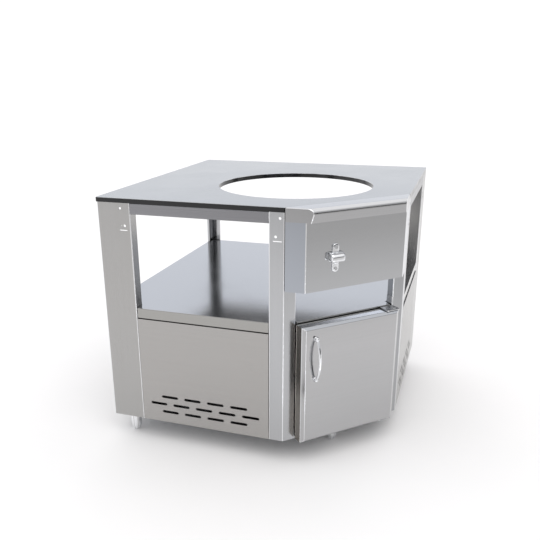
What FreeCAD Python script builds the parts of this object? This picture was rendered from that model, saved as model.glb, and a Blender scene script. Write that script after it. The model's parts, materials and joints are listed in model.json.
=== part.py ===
import FreeCAD, Part
import math
import os

# Corner cabinet for a round ceramic grill, in brushed stainless steel sheet.  Units are millimetres.
# +Z is up, the door faces -Y and the corner that goes into the corner of two walls points to +Y.
# The origin is on the floor, in the middle of the cabinet's box.
#
# Seen from above the body is a square with one corner cut off at 45 degrees.  Most pieces are made in
# the "wall frame": its own origin is the back corner, +X runs along the right-hand wall and -Y along
# the left-hand wall.  in_room() turns a piece by 45 degrees into the cabinet's frame.

V = FreeCAD.Vector

# ---- driving dimensions ---------------------------------------------------------------------------
WALL = 1000.0              # each side that stands against a wall
HEIGHT = 905.0             # floor to the top of the worktop
BODY_SIDE = 658.0          # each side that joins another cabinet, from the wall to the front fold
DEPTH = 1254.0             # back corner to the front of the door handle
CUTOUT_RADIUS = 280.0      # round hole for the grill
CUTOUT_FROM_CORNER = 822.0  # back corner to the middle of the hole

SKIN = 1.2                 # thin sheet: worktop, panels, door
SHEET = 1.5                # folded structural sheet
BEND = 3.0                 # outside radius of a fold
SEAM = 0.8                 # gap between two sheets side by side

WALL_GAP = 2.5             # the body stands this far inside the worktop on the wall sides
CORE_BOTTOM = 889.0        # underside of the black board, and top of the posts
BODY_BOTTOM = 86.0         # bottom edge of the body
TOP_RAIL_BOTTOM = 852.0
SHELF_TOP = 520.0
SHELF_LIP = 38.0           # height of the shelf's folded edge
BASE_RAIL_TOP = 116.0
RAIL_DEPTH = 28.0          # how far a rail's flanges reach inwards

REAR_POST = 125.0          # width of a rear post on its joining side
REAR_POST_WALL = 60.0      # and on its wall side
FRONT_POST = 50.0          # width of a front post on its joining side
FRONT_POST_FACE = 46.0     # and on the front
POST_RETURN = 40.0         # how far a post's edge is folded inwards
FRONT_RETURN = 30.0
BACK_POST = 50.0
LIP = 12.0                 # folded edge of the back post
REAR_LIP = 15.0            # folded edge of a rear post on its wall side

DOOR_WIDTH = 390.0
DOOR_BOTTOM = 88.5
DOOR_TOP = 512.5
DOOR_THICK = 44.6
DOOR_GAP = 3.0             # between the door and the front of the body
DOOR_BEVEL = 8.5           # depth of the bevel round the door's front, and its height at the ends
DOOR_SIDE_BEVEL = 12.0     # its width at the two sides
DOOR_FOLD = 2.5            # outside radius of the door's folds
DOOR_LINER_DEPTH = 15.0
DOOR_LINER = 1.0           # its thickness
HINGE_X = 182.0            # the door turns about this upright line
HINGE_Y = -573.0
PIN_RADIUS = 4.0
RUNNING = 0.05             # radial play of a pin or stud in its hole

PANEL_FRONT = -595.0       # front face of the fixed fascia panel
PANEL_BOTTOM = 634.0
APRON_BOTTOM = 860.0       # lower edge of the worktop's rounded nose
APRON_FRONT = -606.0
NOSE_FRONT = -611.5
NOSE_RADIUS = 16.0
FASCIA_EDGE = 4.0          # outside radius where the fascia meets its cheeks
CHEEK_START = 3.5          # gap between a front post's fold and the fascia's cheek, along the side

FOOT_INSET = 57.0          # middle of a foot from the two faces beside it
FOOT_FRONT_Y = -485.0
FOOT_PLATE = 4.0
FOOT_PLATE_SIDE = 110.0
FOOT_PLATE_REAR = 45.0     # the front foot's plate reaches this far behind its middle
SLEEVE_RADIUS = 20.0
SLEEVE_BOTTOM = 19.0
SLEEVE_EDGE = 1.5
TIP_TOP = 18.5             # top of the foot's tip, just under the sleeve
TIP_RADIUS = 16.0
TIP_SOLE_RADIUS = 10.0
TIP_KNEE = (13.0, 3.0)     # radius and height where the sole's bevel ends
TIP_RIM = 5.0              # height of the tip's straight rim
STUD_RADIUS = 6.0
STUD_TOP = 70.0

HANDLE_X = -145.0
HANDLE_LOW = 324.0
HANDLE_HIGH = 470.0
HANDLE_BAR = 5.0           # radius
HANDLE_BOSS = 9.0          # radius of the boss at each end
HANDLE_BOSS_REACH = 14.0
HANDLE_END_REACH = 9.0     # from the door to the middle of the bar where it meets a boss

OPENER_X = -84.0
OPENER_Z = 739.0
OPENER_SCREW_REACH = 35.0  # from the opener's middle to each screw
OPENER_PLATE_HALF = 12.0
OPENER_PLATE = 5.0
OPENER_HOOD_HALF = 27.0
OPENER_HOOD_REACH = 27.0
OPENER_HOOD_LOW = -8.0     # heights from the opener's middle
OPENER_HOOD_HIGH = 20.0
OPENER_WALL = 6.0          # thickness of the hood's sides, and radius of its front corners
OPENER_LIP = 5.0           # thickness of the hood's front wall
OPENER_MOUTH_REAR = 8.0    # rear of the hood's hollow, from the panel
OPENER_MOUTH_HIGH = 13.0
OPENER_TOOTH_HALF = 9.0
OPENER_TOOTH_REACH = 12.0
OPENER_TOOTH_LOW = -22.0
OPENER_SCREW = 3.0

# ---- places that follow from them -----------------------------------------------------------------
DIAG = math.sqrt(0.5)
BACK = DEPTH / 2.0                                   # y of the back corner
FRONT = BACK - (WALL + BODY_SIDE) * DIAG             # y of the body's front face
FRONT_HALF = (WALL - BODY_SIDE) * DIAG               # half the width of that face
MOUTH_HALF = FRONT_HALF - FRONT_POST_FACE            # half the opening between the front posts
CUTOUT_Y = BACK - CUTOUT_FROM_CORNER
CORE_TOP = HEIGHT - SKIN
DOOR_REAR = FRONT - DOOR_GAP
DOOR_FRONT = DOOR_REAR - DOOR_THICK
SIDE_FACE = -WALL                                    # wall-frame y of the left joining side
REAR_EDGE = REAR_POST                                # wall-frame x where the left side's opening starts
FRONT_EDGE = BODY_SIDE - FRONT_POST                  # and where it ends
SHELF_BOTTOM = SHELF_TOP - SHELF_LIP
LIP_INSET = 3.0                                      # rails behind the door and shelf lips stand back
NOTCH_GAP = 2.0                                      # room round a post where a level sheet is notched
SHEET_END_GAP = 1.5                                  # room between a level sheet's edge and a post
PANEL_TOP = SHELF_BOTTOM - 1.0                       # top of the lower panels

VENT_LENGTH = 63.0
VENT_HEIGHT = 10.0
VENT_PITCH = 88.0
VENT_ROWS = ((188.0, 4), (158.0, 5), (128.0, 4))     # height above the floor, slots in the row

JOIN_HOLE = 4.5                                      # radius
JOIN_HOLES_REAR = ((89.0, 871.0), (102.5, 812.0))    # along the side from the wall, height
JOIN_HOLES_FRONT = ((644.5, 870.0), (630.5, 811.0))
PILOT_HOLE = 1.8                                     # radius
PILOT_HOLE_REAR = (91.0, 812.0)
HOOK_SLOT_Z = 796.5
HOOK_SLOT_HEIGHT = 3.2
HOOK_SLOT_REAR = (97.5, 29.0)                        # middle along the side, length
HOOK_SLOT_FRONT = (636.0, 30.0)
THROUGH = 10.0                                       # length of a cut made through one sheet
PAST = 1.0                                           # how far a cut runs past a face


TINY = 1e-6                                          # slack when edges are picked by their place


# ---- small tools ----------------------------------------------------------------------------------
def box(x0, x1, y0, y1, z0, z1):
    return Part.makeBox(x1 - x0, y1 - y0, z1 - z0, V(x0, y0, z0))


def rod(radius, start, direction, length):
    return Part.makeCylinder(radius, length, start, direction)


def prism(outline, z0, z1):
    """Upright solid over a closed outline of (x, y) points."""
    wire = Part.makePolygon([V(x, y, z0) for x, y in outline + outline[:1]])
    return Part.Face(wire).extrude(V(0, 0, z1 - z0))


def joined(shapes):
    whole = shapes[0]
    for shape in shapes[1:]:
        whole = whole.fuse(shape)
    return whole.removeSplitter()


def in_room(shape):
    """Turn a piece from the wall frame into the cabinet's frame."""
    turned = shape.copy()
    turned.rotate(V(0, 0, 0), V(0, 0, 1), -45)
    turned.translate(V(0, BACK, 0))
    return turned


def room_point(x, y):
    """A wall-frame point in the cabinet's frame."""
    return ((x + y) * DIAG, (y - x) * DIAG + BACK)


def mirrored(shape):
    """The same piece on the other side of the cabinet."""
    return shape.mirror(V(0, 0, 0), V(1, 0, 0))


def tangent_points(before, corner, after, radius):
    """Where a fillet of this radius leaves the two legs of a corner, and the middle of its arc."""
    leg_in = (corner - before).normalize()
    leg_out = (after - corner).normalize()
    turn = leg_in.getAngle(leg_out)
    cut = radius * math.tan(turn / 2.0)
    start = corner - leg_in * cut
    end = corner + leg_out * cut
    inward = (leg_out - leg_in).normalize()
    middle = corner + inward * (radius / math.cos(turn / 2.0) - radius)
    return start, middle, end


def rounded_edges(points, radii):
    """Edges of an open path whose inner corners are rounded, one radius for each corner."""
    edges = []
    here = points[0]
    for before, corner, after, radius in zip(points, points[1:], points[2:], radii):
        start, middle, end = tangent_points(before, corner, after, radius)
        edges.append(Part.LineSegment(here, start).toShape())
        edges.append(Part.Arc(start, middle, end).toShape())
        here = end
    edges.append(Part.LineSegment(here, points[-1]).toShape())
    return edges


def left_offset(points, thickness):
    """The path moved sideways to its left, with mitred corners."""
    normals = []
    for a, b in zip(points, points[1:]):
        along = (b - a).normalize()
        normals.append(V(-along.y, along.x, 0))
    moved = [points[0] + normals[0] * thickness]
    for corner, one, two in zip(points[1:-1], normals, normals[1:]):
        middle = (one + two).normalize()
        moved.append(corner + middle * (thickness / middle.dot(one)))
    moved.append(points[-1] + normals[-1] * thickness)
    return moved


def folded_section(outline, thickness=SHEET, bend=BEND):
    """Section of folded sheet: the outline is one face and the sheet lies on its left."""
    points = [V(x, y, 0) for x, y in outline]
    other = left_offset(points, thickness)
    radii = []
    other_radii = []
    for before, corner, after in zip(points, points[1:], points[2:]):
        turns_left = (corner - before).cross(after - corner).z > 0
        radii.append(bend if turns_left else bend - thickness)
        other_radii.append(bend - thickness if turns_left else bend)
    edges = rounded_edges(points, radii) + rounded_edges(other, other_radii)
    edges.append(Part.LineSegment(points[0], other[0]).toShape())
    edges.append(Part.LineSegment(points[-1], other[-1]).toShape())
    return Part.Face(Part.Wire(Part.__sortEdges__(edges)))


def post(outline, z0=BODY_BOTTOM, z1=CORE_BOTTOM):
    """Upright folded sheet over an outline of (x, y) points."""
    upright = folded_section(outline).extrude(V(0, 0, z1 - z0))
    upright.translate(V(0, 0, z0))
    return upright


def rail(section, inward, start, length):
    """Level folded sheet: the section's points are (depth from the face, height)."""
    up = V(0, 0, 1)
    along = inward.cross(up)
    bar = folded_section(section).extrude(V(0, 0, length))
    frame = FreeCAD.Matrix(inward.x, up.x, along.x, start.x,
                           inward.y, up.y, along.y, start.y,
                           inward.z, up.z, along.z, start.z,
                           0, 0, 0, 1)
    bar.Placement = FreeCAD.Placement(frame)
    return bar


def slot(length, height, middle, through):
    """A level slot with round ends, cut through the left joining side (wall frame)."""
    flat = length - height
    x, y, z = middle
    ends = [rod(height / 2.0, V(x + s * flat / 2.0, y - through / 2.0, z), V(0, 1, 0), through)
            for s in (-1, 1)]
    bar = box(x - flat / 2.0, x + flat / 2.0, y - through / 2.0, y + through / 2.0,
              z - height / 2.0, z + height / 2.0)
    return bar.fuse(ends).removeSplitter()


# ---- worktop --------------------------------------------------------------------------------------
def cutout(z0, z1):
    return rod(CUTOUT_RADIUS, V(0, CUTOUT_Y, z0), V(0, 0, 1), z1 - z0)


def body_outline(side):
    """The body's five corners seen from above, with joining sides of the given length."""
    corners = ((0, 0), (0, -WALL), (side, -WALL), (WALL, -side), (WALL, 0))
    return [room_point(x, y) for x, y in corners]


def worktop_skin():
    """The sheet runs on over the front posts until it meets the nose."""
    sheet = prism(body_outline(BODY_SIDE + CHEEK_START), CORE_TOP, HEIGHT)
    return sheet.cut(cutout(CORE_TOP - PAST, HEIGHT + PAST))


CORE_SCREW = 2.0           # radius of the shank
CORE_SCREW_LENGTH = 12.0
CORE_SCREW_HEAD = 2.5      # height of the head
CORE_SCREW_INSET = 16.0    # from the rail's face
CORE_SCREWS_ON_SIDE = (180.0, 300.0, 430.0, 550.0)
CORE_SCREWS_ON_WALL = (-860.0, -620.0, -380.0, -140.0)


def core_screw_places():
    """Four screws through each top rail into the board: the wall sides and the joining sides."""
    side = [(x, SIDE_FACE + CORE_SCREW_INSET) for x in CORE_SCREWS_ON_SIDE]
    wall = [(WALL_GAP + CORE_SCREW_INSET, y) for y in CORE_SCREWS_ON_WALL]
    places = [room_point(x, y) for x, y in side + wall]
    return places + [(-x, y) for x, y in places]


def core_screws():
    screws = []
    under = CORE_BOTTOM - SHEET
    for x, y in core_screw_places():
        shank = rod(CORE_SCREW, V(x, y, under), V(0, 0, 1), CORE_SCREW_LENGTH)
        head = rod(2 * CORE_SCREW, V(x, y, under - CORE_SCREW_HEAD), V(0, 0, 1), CORE_SCREW_HEAD)
        screws.append(shank.fuse(head).removeSplitter())
    return Part.makeCompound(screws)


def core_screw_holes():
    return Part.makeCompound([
        rod(CORE_SCREW, V(x, y, CORE_BOTTOM - SHEET), V(0, 0, 1), CORE_SCREW_LENGTH)
        for x, y in core_screw_places()])


def worktop_core():
    board = prism(body_outline(BODY_SIDE), CORE_BOTTOM, CORE_TOP)
    return board.cut(cutout(CORE_BOTTOM - PAST, CORE_TOP + PAST)).cut(core_screw_holes())


# ---- posts ----------------------------------------------------------------------------------------
def side_hole(radius, x, z):
    """A round cut through the left joining side (wall frame)."""
    return rod(radius, V(x, SIDE_FACE - THROUGH / 2.0, z), V(0, 1, 0), THROUGH)


def join_cuts(holes, pilots, hook_slot):
    """Holes that bolt two cabinets together, and the thin slot for a trim strip's hook."""
    middle, length = hook_slot
    cuts = [side_hole(JOIN_HOLE, x, z) for x, z in holes]
    cuts += [side_hole(PILOT_HOLE, x, z) for x, z in pilots]
    cuts.append(slot(length, HOOK_SLOT_HEIGHT, (middle, SIDE_FACE, HOOK_SLOT_Z), THROUGH))
    return Part.makeCompound(cuts)


def rear_post():
    """Left rear post: a broad face on the joining side, a narrow one on the wall side."""
    wall_end = SIDE_FACE + REAR_POST_WALL
    outline = [(WALL_GAP + REAR_LIP, wall_end), (WALL_GAP, wall_end), (WALL_GAP, SIDE_FACE),
               (REAR_EDGE, SIDE_FACE), (REAR_EDGE, SIDE_FACE + POST_RETURN)]
    holes = join_cuts(JOIN_HOLES_REAR, [PILOT_HOLE_REAR], HOOK_SLOT_REAR)
    return in_room(post(outline).cut(holes))


def front_post():
    """Left front post: folded at 135 degrees, with a face beside the door."""
    corner = (BODY_SIDE, SIDE_FACE)
    face_end = (corner[0] + FRONT_POST_FACE * DIAG, corner[1] + FRONT_POST_FACE * DIAG)
    return_end = (face_end[0] - FRONT_RETURN * DIAG, face_end[1] + FRONT_RETURN * DIAG)
    outline = [(FRONT_EDGE, SIDE_FACE + POST_RETURN), (FRONT_EDGE, SIDE_FACE), corner,
               face_end, return_end]
    holes = join_cuts(JOIN_HOLES_FRONT, [], HOOK_SLOT_FRONT)
    return in_room(post(outline).cut(holes))


def back_post():
    inner = -WALL_GAP - BACK_POST
    outline = [(-inner, -WALL_GAP - LIP), (-inner, -WALL_GAP), (WALL_GAP, -WALL_GAP),
               (WALL_GAP, inner), (WALL_GAP + LIP, inner)]
    return in_room(post(outline))


# ---- rails ----------------------------------------------------------------------------------------
def channel(bottom, top, depth):
    return [(depth, top), (0, top), (0, bottom), (depth, bottom)]


def angle(bottom, top, depth):
    return [(depth, top), (0, top), (0, bottom)]


def side_rail(section, behind):
    start = V(REAR_EDGE, SIDE_FACE + behind, 0)
    return in_room(rail(section, V(0, 1, 0), start, FRONT_EDGE - REAR_EDGE))


def wall_rail(section, behind):
    near = -WALL_GAP - BACK_POST
    far = SIDE_FACE + REAR_POST_WALL
    return in_room(rail(section, V(1, 0, 0), V(WALL_GAP + behind, near, 0), near - far))


def front_rail(section):
    start = V(-MOUTH_HALF, FRONT + LIP_INSET, 0)
    return rail(section, V(0, 1, 0), start, 2 * MOUTH_HALF)


def make_rails():
    """Channels under the board, and angles behind the lower panels, cut to fit between the posts."""
    top = channel(TOP_RAIL_BOTTOM, CORE_BOTTOM, RAIL_DEPTH)
    base = angle(BODY_BOTTOM, BASE_RAIL_TOP, RAIL_DEPTH)
    screws = core_screw_holes()
    rails = {}
    for name, section, behind in (("top_rail", top, 0.0), ("base_rail", base, SKIN)):
        rails[name + "_left"] = side_rail(section, behind).cut(screws)
        rails[name + "_back_left"] = wall_rail(section, behind).cut(screws)
        rails[name + "_front"] = front_rail(section)
        rails[name + "_right"] = mirrored(rails[name + "_left"])
        rails[name + "_back_right"] = mirrored(rails[name + "_back_left"])
    return rails


# ---- shelf and floor ------------------------------------------------------------------------------
def notched_half(side_gap, wall_gap, front_gap, mouth_gap):
    """Left half of a level sheet, cut out round the posts, from the front to the back corner."""
    post_end = SIDE_FACE + POST_RETURN + NOTCH_GAP
    lip_x = WALL_GAP + REAR_LIP + NOTCH_GAP
    wall_x = WALL_GAP + wall_gap
    side_y = SIDE_FACE + side_gap
    wall_y = SIDE_FACE + REAR_POST_WALL + NOTCH_GAP
    back_lip = WALL_GAP + LIP + NOTCH_GAP
    back_end = WALL_GAP + BACK_POST + NOTCH_GAP
    mouth = MOUTH_HALF - mouth_gap
    side_x0 = REAR_EDGE + SHEET_END_GAP
    side_x1 = FRONT_EDGE - SHEET_END_GAP
    walls = [(side_x1, post_end), (side_x1, side_y), (side_x0, side_y), (side_x0, post_end),
             (lip_x, post_end), (lip_x, wall_y), (wall_x, wall_y),
             (wall_x, -back_end), (back_lip, -back_end), (back_lip, -back_lip)]
    front = [(-mouth, FRONT + front_gap), (-mouth, FRONT + FRONT_RETURN + NOTCH_GAP)]
    return front + [room_point(x, y) for x, y in walls]


def level_sheet(half, z0, z1):
    """The half and its mirror image as one sheet; the last point lies on the middle line."""
    other = [(-x, y) for x, y in reversed(half[:-1])]
    return prism(half + other, z0, z1)


SHELF_MOUTH_GAP = 6.0      # leaves room for the hinge bracket and its screws beside the shelf
FLOOR_MOUTH_GAP = 2.0
FLOOR_FRONT_GAP = 5.0
SHELF_FLANGE = 15.0        # the lip's lower edge is folded in this far
HINGE_LEAF = 3.0


def shelf():
    """A tray turned upside down: a flat sheet with a folded lip along each of its five sides."""
    half = notched_half(LIP_INSET, LIP_INSET, LIP_INSET, SHELF_MOUTH_GAP)
    sheet = level_sheet(half, SHELF_TOP - SHEET, SHELF_TOP)
    side_x0 = REAR_EDGE + SHEET_END_GAP
    side_x1 = FRONT_EDGE - SHEET_END_GAP
    lip = channel(SHELF_BOTTOM, SHELF_TOP, SHELF_FLANGE)
    side = rail(lip, V(0, 1, 0), V(side_x0, SIDE_FACE + LIP_INSET, 0), side_x1 - side_x0)
    near = -(WALL_GAP + BACK_POST + NOTCH_GAP)
    far = SIDE_FACE + REAR_POST_WALL + NOTCH_GAP
    wall = rail(lip, V(1, 0, 0), V(WALL_GAP + LIP_INSET, near, 0), near - far)
    mouth = MOUTH_HALF - SHELF_MOUTH_GAP
    front = rail(lip, V(0, 1, 0), V(-mouth, FRONT + LIP_INSET, 0), 2 * mouth)
    left = [in_room(side), in_room(wall)]
    lips = left + [mirrored(piece) for piece in left] + [front]
    trim = joined([edge_zone(piece) for piece in lips])
    return joined([sheet.cut(trim)] + lips)


def edge_zone(piece):
    """The strip above a lip's flange, where the lip's own fold takes the sheet's place."""
    zone = piece.BoundBox
    band = box(zone.XMin - PAST, zone.XMax + PAST, zone.YMin - PAST, zone.YMax + PAST,
               SHELF_TOP - SHEET, SHELF_TOP)
    return band.common(piece)


HAT_HALF = 35.0            # half the width of a stiffener
HAT_CROWN_HALF = 21.0
HAT_DEPTH = 32.0
STIFFENERS = ((-380.0, 420.0), (-180.0, 740.0), (20.0, 900.0))    # y of the middle, length


def shelf_stiffeners():
    """Three hat sections under the shelf, which carries the grill's weight."""
    top = SHELF_TOP - SHEET
    low = top - HAT_DEPTH
    hat = [(HAT_HALF, top), (HAT_CROWN_HALF, top), (HAT_CROWN_HALF, low),
           (-HAT_CROWN_HALF, low), (-HAT_CROWN_HALF, top), (-HAT_HALF, top)]
    return Part.makeCompound([rail(hat, V(0, 1, 0), V(-length / 2.0, middle, 0), length)
                              for middle, length in STIFFENERS])


def floor_plate():
    half = notched_half(LIP_INSET, LIP_INSET, FLOOR_FRONT_GAP, FLOOR_MOUTH_GAP)
    return level_sheet(half, BASE_RAIL_TOP, BASE_RAIL_TOP + SKIN)


# ---- lower panels ---------------------------------------------------------------------------------
def side_panel():
    """Left lower panel with three staggered rows of air slots."""
    x0 = REAR_EDGE + SEAM
    x1 = FRONT_EDGE - SEAM
    sheet = box(x0, x1, SIDE_FACE, SIDE_FACE + SKIN, BODY_BOTTOM, PANEL_TOP)
    middle = (x0 + x1) / 2.0
    slots = []
    for z, count in VENT_ROWS:
        for i in range(count):
            x = middle + (i - (count - 1) / 2.0) * VENT_PITCH
            slots.append(slot(VENT_LENGTH, VENT_HEIGHT, (x, SIDE_FACE, z), THROUGH))
    return in_room(sheet.cut(Part.makeCompound(slots)))


def back_panel():
    y0 = SIDE_FACE + REAR_POST_WALL + SEAM
    y1 = -WALL_GAP - BACK_POST - SEAM
    return in_room(box(WALL_GAP, WALL_GAP + SKIN, y0, y1, BODY_BOTTOM, PANEL_TOP))


# ---- fascia ---------------------------------------------------------------------------------------
FASCIA_REAR = room_point(BODY_SIDE + CHEEK_START, SIDE_FACE)[1]
NOSE_ARC_MIDDLE = math.radians(42)         # a point about half way round the nose, from the front
SPARE = 20.0                               # how far a block made to be trimmed runs past the nose
APRON_SPREAD = FASCIA_REAR - NOSE_FRONT    # the nose is at most this much wider at each end
CHEEK_RETURN_FRONT = PANEL_FRONT + 8.0     # the underside is open behind this line


def between_sides(inset, z0, z1):
    """Block that fills the room between the two joining sides, in front of the body."""
    rear_left = room_point(BODY_SIDE + CHEEK_START, SIDE_FACE)
    y_far = NOSE_FRONT - SPARE
    x_far = rear_left[0] + (rear_left[1] - y_far)
    shift = inset / DIAG
    outline = [(rear_left[0] + shift, rear_left[1]), (x_far + shift, y_far)]
    return prism(outline + [(-x, y) for x, y in reversed(outline)], z0, z1)


def front_block(inset, edge):
    """Solid behind the fascia's surface, moved inwards by inset, with its side edges rounded."""
    top = HEIGHT - inset
    rear = FASCIA_REAR
    nose = NOSE_RADIUS - inset
    front = NOSE_FRONT + inset
    y_flat = front + nose
    slope = (APRON_FRONT - NOSE_FRONT) / (HEIGHT - NOSE_RADIUS - APRON_BOTTOM)
    tangent_y = front + nose * (1 - math.cos(math.atan(slope)))
    tangent_z = top - nose - nose * math.sin(math.atan(slope))
    middle_y = y_flat - nose * math.cos(NOSE_ARC_MIDDLE)
    middle_z = top - nose + nose * math.sin(NOSE_ARC_MIDDLE)
    low = APRON_BOTTOM + inset
    points = [V(0, rear, top), V(0, y_flat, top), V(0, tangent_y, tangent_z),
              V(0, APRON_FRONT + inset, low), V(0, PANEL_FRONT + inset, low),
              V(0, PANEL_FRONT + inset, PANEL_BOTTOM), V(0, rear, PANEL_BOTTOM)]
    edges = [Part.LineSegment(points[0], points[1]).toShape(),
             Part.Arc(points[1], V(0, middle_y, middle_z), points[2]).toShape()]
    for a, b in zip(points[2:], points[3:] + points[:1]):
        edges.append(Part.LineSegment(a, b).toShape())
    face = Part.Face(Part.Wire(edges))
    half = FRONT_HALF + APRON_SPREAD
    bar = face.extrude(V(2 * half, 0, 0))
    bar.translate(V(-half, 0, 0))
    block = bar.common(between_sides(inset, PANEL_BOTTOM - PAST, HEIGHT + PAST))
    upright = [e for e in block.Edges if is_side_edge(e)]
    return block.makeFillet(edge, upright)


def is_side_edge(edge):
    """True for the upright edges where the panel or the apron meets a cheek."""
    ends = [v.Point for v in edge.Vertexes]
    if len(ends) < 2:
        return False
    tall = abs(ends[0].z - ends[1].z) > NOSE_RADIUS
    at_front = max(p.y for p in ends) < PANEL_FRONT + FASCIA_EDGE
    return tall and at_front


def fascia():
    """The welded shell: panel, apron, rounded nose and the two cheeks."""
    outer = front_block(0.0, FASCIA_EDGE)
    inner = front_block(SHEET, FASCIA_EDGE - SHEET)
    below = box(-FRONT_HALF, FRONT_HALF, CHEEK_RETURN_FRONT, FASCIA_REAR,
                PANEL_BOTTOM - THROUGH / 2.0, PANEL_BOTTOM + THROUGH / 2.0)
    return outer.cut(inner).cut(below.common(inner))


def split_at(shape, z):
    big = shape.BoundBox
    sides = (big.XMin - PAST, big.XMax + PAST, big.YMin - PAST, big.YMax + PAST)
    lower = box(*sides, big.ZMin - PAST, z)
    upper = box(*sides, z, big.ZMax + PAST)
    return shape.common(lower), shape.common(upper)


CHEEK_BRACKET_END_GAP = 20.0    # from the panel's lower edge, and from the board
CHEEK_BRACKET_MOUTH_GAP = 4.0
CHEEK_LEAF_REACH = 34.0
CHEEK_LEAF = 2.0                # thickness


def fascia_brackets():
    """A bracket on each front post's face, with a leaf along the inside of the fascia's cheek."""
    low = PANEL_BOTTOM + CHEEK_BRACKET_END_GAP
    high = CORE_BOTTOM - CHEEK_BRACKET_END_GAP
    base_thick = CHEEK_START * DIAG
    x, y = room_point(BODY_SIDE + CHEEK_START, SIDE_FACE + SHEET)
    base = box(x, -MOUTH_HALF - CHEEK_BRACKET_MOUTH_GAP, FRONT - base_thick, FRONT, low, high)
    reach = CHEEK_LEAF_REACH
    width = CHEEK_LEAF / DIAG
    leaf = prism([(x, y), (x + reach, y - reach), (x + reach + width, y - reach), (x + width, y)],
                 low, high)
    bracket = joined([leaf.common(front_block(SHEET, FASCIA_EDGE - SHEET)), base])
    return Part.makeCompound([bracket, mirrored(bracket)])


# ---- bottle opener --------------------------------------------------------------------------------
def opener_ends():
    return [V(OPENER_X, PANEL_FRONT, OPENER_Z + s * OPENER_SCREW_REACH) for s in (-1, 1)]


def opener_box(half, rear, reach, low, high):
    """A block on the fascia, centred on the opener; depths and heights from its middle."""
    return box(OPENER_X - half, OPENER_X + half, PANEL_FRONT - reach, PANEL_FRONT - rear,
               OPENER_Z + low, OPENER_Z + high)


def bottle_opener():
    """Cast wall opener: a back plate and a hood whose lip hooks over the bottle's cap."""
    out = V(0, -1, 0)
    ends = [rod(OPENER_PLATE_HALF, end, out, OPENER_PLATE) for end in opener_ends()]
    plate = opener_box(OPENER_PLATE_HALF, 0, OPENER_PLATE, -OPENER_SCREW_REACH, OPENER_SCREW_REACH)
    hood = opener_box(OPENER_HOOD_HALF, 0, OPENER_HOOD_REACH, OPENER_HOOD_LOW, OPENER_HOOD_HIGH)
    front = PANEL_FRONT - OPENER_HOOD_REACH
    hood = hood.makeFillet(OPENER_WALL, [e for e in hood.Edges if abs(e.CenterOfMass.y - front) < TINY])
    mouth = opener_box(OPENER_HOOD_HALF - OPENER_WALL, OPENER_MOUTH_REAR,
                       OPENER_HOOD_REACH - OPENER_LIP, OPENER_HOOD_LOW - PAST, OPENER_MOUTH_HIGH)
    tooth = opener_box(OPENER_TOOTH_HALF, 0, OPENER_TOOTH_REACH, OPENER_TOOTH_LOW, OPENER_HOOD_LOW)
    holes = [rod(OPENER_SCREW, end, out, OPENER_PLATE + PAST) for end in opener_ends()]
    return joined([plate, hood.cut(mouth), tooth] + ends).cut(Part.makeCompound(holes))


OPENER_SCREW_LENGTH = 17.0
OPENER_SCREW_HEAD = 5.5    # radius
OPENER_SCREW_HEAD_HEIGHT = 3.0


def opener_screws():
    screws = []
    for end in opener_ends():
        seat = end + V(0, -OPENER_PLATE, 0)
        shank = rod(OPENER_SCREW, seat, V(0, 1, 0), OPENER_SCREW_LENGTH)
        head = rod(OPENER_SCREW_HEAD, seat, V(0, -1, 0), OPENER_SCREW_HEAD_HEIGHT)
        screws.append(shank.fuse(head).removeSplitter())
    return Part.makeCompound(screws)


def opener_screw_holes():
    return Part.makeCompound([rod(OPENER_SCREW, end + V(0, -PAST, 0), V(0, 1, 0), THROUGH)
                              for end in opener_ends()])


# ---- door -----------------------------------------------------------------------------------------
def bevelled(half, front, bevel, depth):
    """Outline of a bevelled block: (across, y) points, bevelled at its two front corners."""
    right = [(half, DOOR_REAR), (half, front + depth), (half - bevel, front)]
    return [(-x, y) for x, y in right] + right[::-1]


def inner_share(bevel, inset):
    """Size of a bevel's inner face beside its outer one, for a sheet of even thickness."""
    slant = math.hypot(1 / bevel, 1 / DOOR_BEVEL)
    return 1 - inset * (1 / bevel + 1 / DOOR_BEVEL - slant)


def door_block(inset, soften):
    """The door's outer form moved inwards by inset: bevelled round its front face."""
    half = DOOR_WIDTH / 2.0 - inset
    tall = (DOOR_TOP - DOOR_BOTTOM) / 2.0 - inset
    middle = (DOOR_TOP + DOOR_BOTTOM) / 2.0
    front = DOOR_FRONT + inset
    side = inner_share(DOOR_SIDE_BEVEL, inset)
    end = inner_share(DOOR_BEVEL, inset)
    plan = bevelled(half, front, side * DOOR_SIDE_BEVEL, side * DOOR_BEVEL)
    block = prism(plan, middle - tall, middle + tall)
    profile = [V(-half, y, middle + z)
               for z, y in bevelled(tall, front, end * DOOR_BEVEL, end * DOOR_BEVEL)]
    face = Part.Face(Part.makePolygon(profile + profile[:1]))
    block = block.common(face.extrude(V(2 * half, 0, 0)))
    folds = [e for e in block.Edges
             if max(abs(v.Point.y - front) for v in e.Vertexes) < DOOR_BEVEL + TINY]
    return block.makeFillet(soften, folds)


def door_bush_hole(radius):
    return rod(radius, V(HINGE_X, HINGE_Y, 0), V(0, 0, 1), HEIGHT)


def handle_ends():
    return [(HANDLE_X, z) for z in (HANDLE_LOW, HANDLE_HIGH)]


HANDLE_SCREW = 2.5         # radius
HANDLE_SCREW_REACH = 12.0  # how far it goes into the boss
HANDLE_SCREW_HEAD_HEIGHT = 3.0
BUSH = 7.0                 # outside radius
BUSH_FLANGE = 10.0
BUSH_REACH = 14.0
BUSH_FLANGE_TOP = 1.0
BUSH_FLANGE_LOW = 2.0


def handle_holes():
    length = HANDLE_SCREW_REACH + THROUGH
    return Part.makeCompound([
        rod(HANDLE_SCREW, V(x, DOOR_FRONT - HANDLE_SCREW_REACH + SKIN, z), V(0, 1, 0), length)
        for x, z in handle_ends()])


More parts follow.
